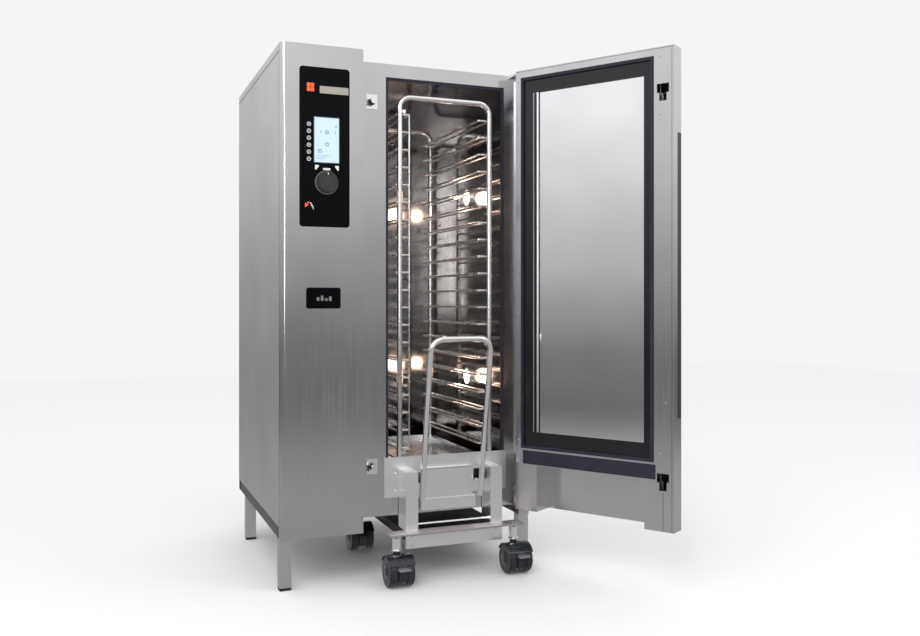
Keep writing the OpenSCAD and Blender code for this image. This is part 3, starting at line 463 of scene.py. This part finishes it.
def make_floor():
    half = 9
    mesh = bpy.data.meshes.new("floor")
    mesh.from_pydata([(-half, -half, 0), (half, -half, 0), (half, half, 0), (-half, half, 0)],
                     [], [(0, 1, 2, 3)])
    floor = bpy.data.objects.new("floor", mesh)
    bpy.context.scene.collection.objects.link(floor)
    paint = Finish("floor_paint", (0.93, 0.93, 0.93), 0.0, 0.7)
    mesh.materials.append(paint.mat)
    floor.visible_glossy = False


# ---- control column ----

GLASS_Y = -1.5
MARK_Y = (-2.1, -1.5)
KNOB = (156, 1376)


def make_controls():
    glass = materials["panel_glass"]
    panel = Piece("touch_glass", "oven", "black_glass", glass)
    panel.frame(rounded((63, 236), (1225, 1765), 11, 7), circle(*KNOB, 4.5), "y", GLASS_Y, 0)
    panel.frame(rounded((69.5, 229.5), (1231.5, 1758.5), 6, 7), circle(*KNOB, 4.5), "y", 0, 3)
    panel.plate((86, 205), (-1, 0), (949, 1020), 8)
    panel.plate((92.5, 198.5), (0, 3), (955.5, 1013.5), 4)
    panel.done(0.3, covers=["control_glass"])

    red = Finish("badge_red", (0.72, 0.10, 0.03), 0.0, 0.35, Emission_Strength=0.25)
    red.set("Emission Color", (0.9, 0.13, 0.04, 1))
    red.vary(red.noise(90.0), 0.12)
    badge = Piece("badge_squares", "oven", "icon_print", red)
    for cx in (94, 107):
        for cz in (1688, 1703):
            badge.plate((cx - 6, cx + 6), MARK_Y, (cz - 7, cz + 7), 2)
    badge.prism([(82, 1306), (82, 1289), (94, 1297.5)], "y", *MARK_Y)
    badge.prism([(90, 1309), (98, 1309), (89, 1299)], "y", *MARK_Y)
    badge.done(0.15, covers=["panel_icons"])

    champagne = brushed("bar_champagne", (0.52, 0.48, 0.41), 0.4, LEVEL)
    bar = Piece("top_bar", "oven", "icon_print", champagne)
    bar.plate((132, 232), MARK_Y, (1677, 1702), 2.5)
    bar.done(0.2)

    pale = Finish("mark_pale", (0.62, 0.62, 0.60), 0.0, 0.5, Emission_Strength=0.22)
    pale.set("Emission Color", (0.9, 0.9, 0.86, 1))
    pale.vary(pale.noise(120.0), 0.15)
    marks = Piece("key_marks", "oven", "icon_print", pale)
    for i in range(6):
        z = 1453.5 + 23.5 * i
        marks.frame(circle(95, z, 7, 20), circle(95, z, 5.2, 20), "y", *MARK_Y)
        if i % 3 == 0:
            marks.plate((92.4, 97.6), MARK_Y, (z - 1, z + 1), 0.9)
        elif i % 3 == 1:
            marks.plate((94, 96), MARK_Y, (z - 3, z + 3), 0.9)
        else:
            marks.prism(circle(95, z, 2.2, 16), "y", *MARK_Y)
    for side in (-1, 1):
        x = 157 + side * 41
        marks.prism([(x, 1434), (x, 1418), (x - side * 4, 1418), (x - side * 13, 1430),
                     (x - side * 13, 1434)], "y", *MARK_Y)
    marks.plate((143, 169), MARK_Y, (1418, 1425), 2.5)
    for k in range(3):
        marks.prism(circle(101 + 4 * k, 1304 - 6 * k, 2.4, 16), "y", *MARK_Y)
        marks.prism(circle(104 + 3 * k, 1296 - 5 * k, 1.5, 12), "y", *MARK_Y)
    marks.done(0.1)

    dim = Finish("mark_dim", (0.16, 0.16, 0.16), 0.0, 0.5)
    dim.vary(dim.noise(120.0), 0.2)
    faint = Piece("low_marks", "oven", "icon_print", dim)
    for k, height in enumerate((12, 18, 9, 15)):
        faint.plate((122 + 14 * k, 131 + 14 * k), (-1.5, -1), (975, 975 + height), 1.5)
    faint.done(0.1)

    blue = Finish("screen_blue", (0.13, 0.28, 0.42), 0.0, 0.4, Emission_Strength=0.15)
    blue.set("Emission Color", (0.2, 0.42, 0.6, 1))
    blue.vary(blue.noise(100.0), 0.15)
    glyphs = Piece("screen_marks", "oven", "screen", blue)
    glyph_y = (-2.4, -2.1)
    for x, z in ((157, 1546), (157, 1505), (133, 1482)):
        glyphs.frame(rounded((x - 6, x + 6), (z - 6, z + 6), 2, 3),
                     rounded((x - 3, x + 3), (z - 3, z + 3), 1, 3), "y", *glyph_y)
    for x, low, high in ((135, 1541, 1552), (184, 1541, 1553), (187, 1559, 1566)):
        glyphs.plate((x, x + 2.5), glyph_y, (low, high), 1)
    glyphs.plate((184, 192), glyph_y, (1566, 1569), 1.2)
    for k in range(3):
        glyphs.plate((120, 150 + 8 * k), glyph_y, (1455 + 6 * k, 1456.2 + 6 * k), 0.5)
    glyphs.done(0.1)

    edge = Finish("screen_edge", (0.10, 0.12, 0.14), 0.3, 0.3)
    edge.vary(edge.noise(50.0), 0.2)
    surround = Piece("screen_surround", "oven", "black_glass", edge)
    surround.frame(rounded((111, 201), (1441, 1598), 4, 4), rounded((114, 198), (1444, 1595), 1, 4),
                   "y", *MARK_Y)
    surround.done(0.2)

    grey = moulded("ring_grey", (0.10, 0.10, 0.105), 0.3, 500.0, 0.05, Coat_Weight=0.4)
    ring = Piece("knob_ring", "oven", "black_plastic", grey)
    ring.lathe([(36.5, 0), (40.5, 0), (40.5, 1.2), (38.8, 2.6), (37.2, 2.6), (36.5, 1.6)],
               (KNOB[0], GLASS_Y, KNOB[1]), (0, -1, 0), 64)
    ring.done(0)
    ribs = [(35.0 + 0.8 * (i % 2), 2 * math.pi * i / 96) for i in range(96)]
    outer = [(KNOB[0] + r * math.cos(t), KNOB[1] + r * math.sin(t)) for r, t in ribs]
    grip = Piece("knob_grip", "control_knob", "black_plastic", materials["lever_black"])
    grip.frame(outer, circle(*KNOB, 34.9, 96), "y", -21.5, -7)
    grip.done(0.1)
    pointer = Piece("knob_pointer", "control_knob", "black_plastic", pale)
    pointer.plate((KNOB[0] - 1.2, KNOB[0] + 1.2), (-25.9, -25.4), (1400, 1407), 1)
    pointer.done(0.05)


# ---- body ----

def make_body_details():
    gasket = Piece("throat_gasket", "oven", "seal_rubber", materials["gasket_rubber"])
    outer, lip = rounded((383, 841), (292, 1767), 2, 6), rounded((393, 831), (302, 1757), 12, 6)
    gasket.frame(outer, rounded((387, 837), (296, 1763), 4, 6), "y", 57.5, 81.5)
    gasket.frame(rounded((386.9, 837.1), (295.9, 1763.1), 4, 6), lip, "y", 59, 65)
    gasket.done(0.6, covers=["throat_seal"])
    seam = moulded("seam_black", (0.010, 0.010, 0.012), 0.5)
    lines = Piece("side_seams", "oven", "seal_rubber", seam)
    lines.block((-0.3, 0.4), (24, 925), (1812, 1815))
    lines.block((-0.3, 0.4), (23.2, 25.4), (216, 1838))
    lines.done(0)
    screws = Piece("body_screws", "oven", "polished_steel", materials["rack_steel"])
    for z in (240, 640, 1040, 1440, 1780):
        for x in (20, 265, 470, 680, 924):
            screws.screw((x, BODY_BACK, z), (0, 1, 0), 4.5)
        for y in (80, 500, 910):
            screws.screw((BODY_RIGHT, y, z), (1, 0, 0), 4.5)
    screws.done(0)
    fins = Piece("rear_louvres", "oven", "brushed_steel", materials["panel_steel"])
    for block_x in ((70, 225), (330, 560), (650, 880)):
        for k in range(14):
            z = 1120 + 26 * k
            fins.prism([(BODY_BACK, z), (BODY_BACK + 8, z), (BODY_BACK + 8, z + 2),
                        (BODY_BACK + 2, z + 14), (BODY_BACK, z + 14)], "x", *block_x)
    fins.done(0.3)
    studs = Piece("latch_collars", "oven", "black_plastic", materials["lever_black"])
    for z in LATCH_Z:
        studs.lathe([(5.2, 0), (12, 0), (12, 5), (10, 8), (5.2, 8)], (332, 52.5, z), (0, -1, 0))
        studs.plate((314.5, 319), (44, 52.5), (z - 14, z + 6), 1.5)
    studs.done(0.2)


# ---- door ----

def make_door_details():
    trim = Piece("pane_retainer", "door", "inner_steel", materials["mill_steel"], True)
    trim.prism([(811, 47.2), (821, 47.2), (821, 48.6), (816, 51.2), (811, 48.6)], "z", 502, 1725)
    trim.prism([(829, 47.2), (833, 47.2), (833, 49.6), (829, 49.6)], "z", 502, 1725)
    trim.done(0.3)
    strip = Piece("end_strip", "door", "black_plastic", materials["lever_black"], True)
    strip.block((292.6, 293.5), (-5, 21), (588, 1530))
    strip.done(0.3)
    screws = Piece("door_screws", "door", "inner_steel", materials["mill_steel"], True)
    for x, z in ((343, 1780), (343, 1590), (322, 1040), (322, 640), (343, 470), (343, 240),
                 (310, 240), (894, 1770), (894, 1390), (894, 930), (894, 470)):
        screws.screw((x, 52, z), (0, 1, 0), 3.0)
    screws.done(0)
    seam = Piece("door_seams", "door", "seal_rubber", materials["gasket_rubber"], True)
    seam.block((330.8, 332.2), (51.8, 52.2), (217, 345))
    seam.block((300, 301.2), (51.8, 52.2), (218, 1806))
    seam.block((296, 905), (51.9, 52.2), (1806.8, 1808))
    seam.done(0)


# ---- trolley ----

def make_trolley_details():
    mid = OPENING_MID
    pink = brushed("lip_rose", (0.62, 0.50, 0.50), 0.3, LEVEL)
    lip = Piece("shield_lip", "trolley", "trolley_steel", pink)
    lip.plate((mid - 92, mid + 92), (32.6, 34.6), (372.5, 375.5), 1.2)
    lip.done(0.2)
    rod = Piece("tie_rod", "trolley", "polished_steel", materials["rack_steel"])
    rod.rod((mid - 138, 6, 187), (mid + 138, 6, 187), 4.5)
    rod.done(0)
    bolts = Piece("trolley_bolts", "trolley", "polished_steel", materials["rack_steel"])
    for x in (mid - 196, mid + 196):
        for z in (300, 360):
            bolts.screw((x, 52.6, z), (0, -1, 0), 5)
    for x in (mid - 160, mid + 160):
        for z in (126, 156):
            bolts.screw((x, -30, z), (0, -1, 0), 5)
    bolts.done(0)
    guard_finish = materials["caster_shell"]
    for key in ("fl", "fr", "rl", "rr"):
        low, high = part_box("wheels_" + key)
        centre = (Vector(((low.x + high.x) / 2, (low.y + high.y) / 2, (low.z + high.z) / 2))
                  - corner) / MM
        half = (high.x - low.x) / 2 / MM
        inner, outer = 53.2, 56.2
        guard = Piece("caster_guard_" + key, "swivel_" + key, "caster_plastic", guard_finish)
        for side in (-1, 1):
            x0 = centre.x + side * 15.2
            x1 = centre.x + side * (half + 2.5)
            arc = [math.radians(30 + 120 * i / 20) for i in range(21)]
            outline = [(centre.y + outer * math.cos(t), centre.z + outer * math.sin(t))
                       for t in arc]
            outline += [(centre.y + inner * math.cos(t), centre.z + inner * math.sin(t))
                        for t in reversed(arc)]
            loops = [guard.loop([(x, u, v) for u, v in outline]) for x in sorted((x0, x1))]
            guard.skin(loops)
        guard.done(0.8)
        stem = Piece("caster_stem_" + key, "swivel_" + key, "polished_steel",
                     materials["rack_steel"])
        stem_y = centre.y + 22
        stem.lathe([(13.3, 0), (18, 0), (18, 4), (15.5, 7), (15.5, 44), (20, 48), (20, 52),
                    (13.3, 52)], (centre.x, stem_y, 116), (0, 0, 1))
        stem.done(0)
        hub = Piece("caster_hubs_" + key, "roller_" + key, "caster_plastic", guard_finish)
        for side in (-1, 1):
            hub.lathe([(26, 0), (26, 0.8), (20, 2.2), (9, 2.6), (8, 1.4), (3, 1.4)],
                      (centre.x + side * half, centre.y, centre.z), (side, 0, 0))
        hub.done(0)


make_camera()
make_world()
materials = make_materials()
make_floor()
make_controls()
make_body_details()
make_door_details()
make_trolley_details()
area_light("key", (-2.6, -3.2, 3.8), (0, 0, 0.9), (2.6, 2.6), 60)
area_light("fill", (3.2, -2.6, 3.2), (0, 0, 0.9), (2.4, 2.4), 30)
area_light("sparkle", at(-900, -3000, 1500), at(OPENING_MID, 300, 950), (0.35, 1.2), 14)
for lamp_z in LAMP_Z:
    glow_data = bpy.data.lights.new("lamp_glow", "POINT")
    glow_data.energy = 0.7
    glow_data.color = (1.0, 0.66, 0.50)
    glow_data.shadow_soft_size = 0.03
    glow = bpy.data.objects.new("lamp_glow", glow_data)
    glow.location = at(790, 429.5, lamp_z)
    bpy.context.scene.collection.objects.link(glow)
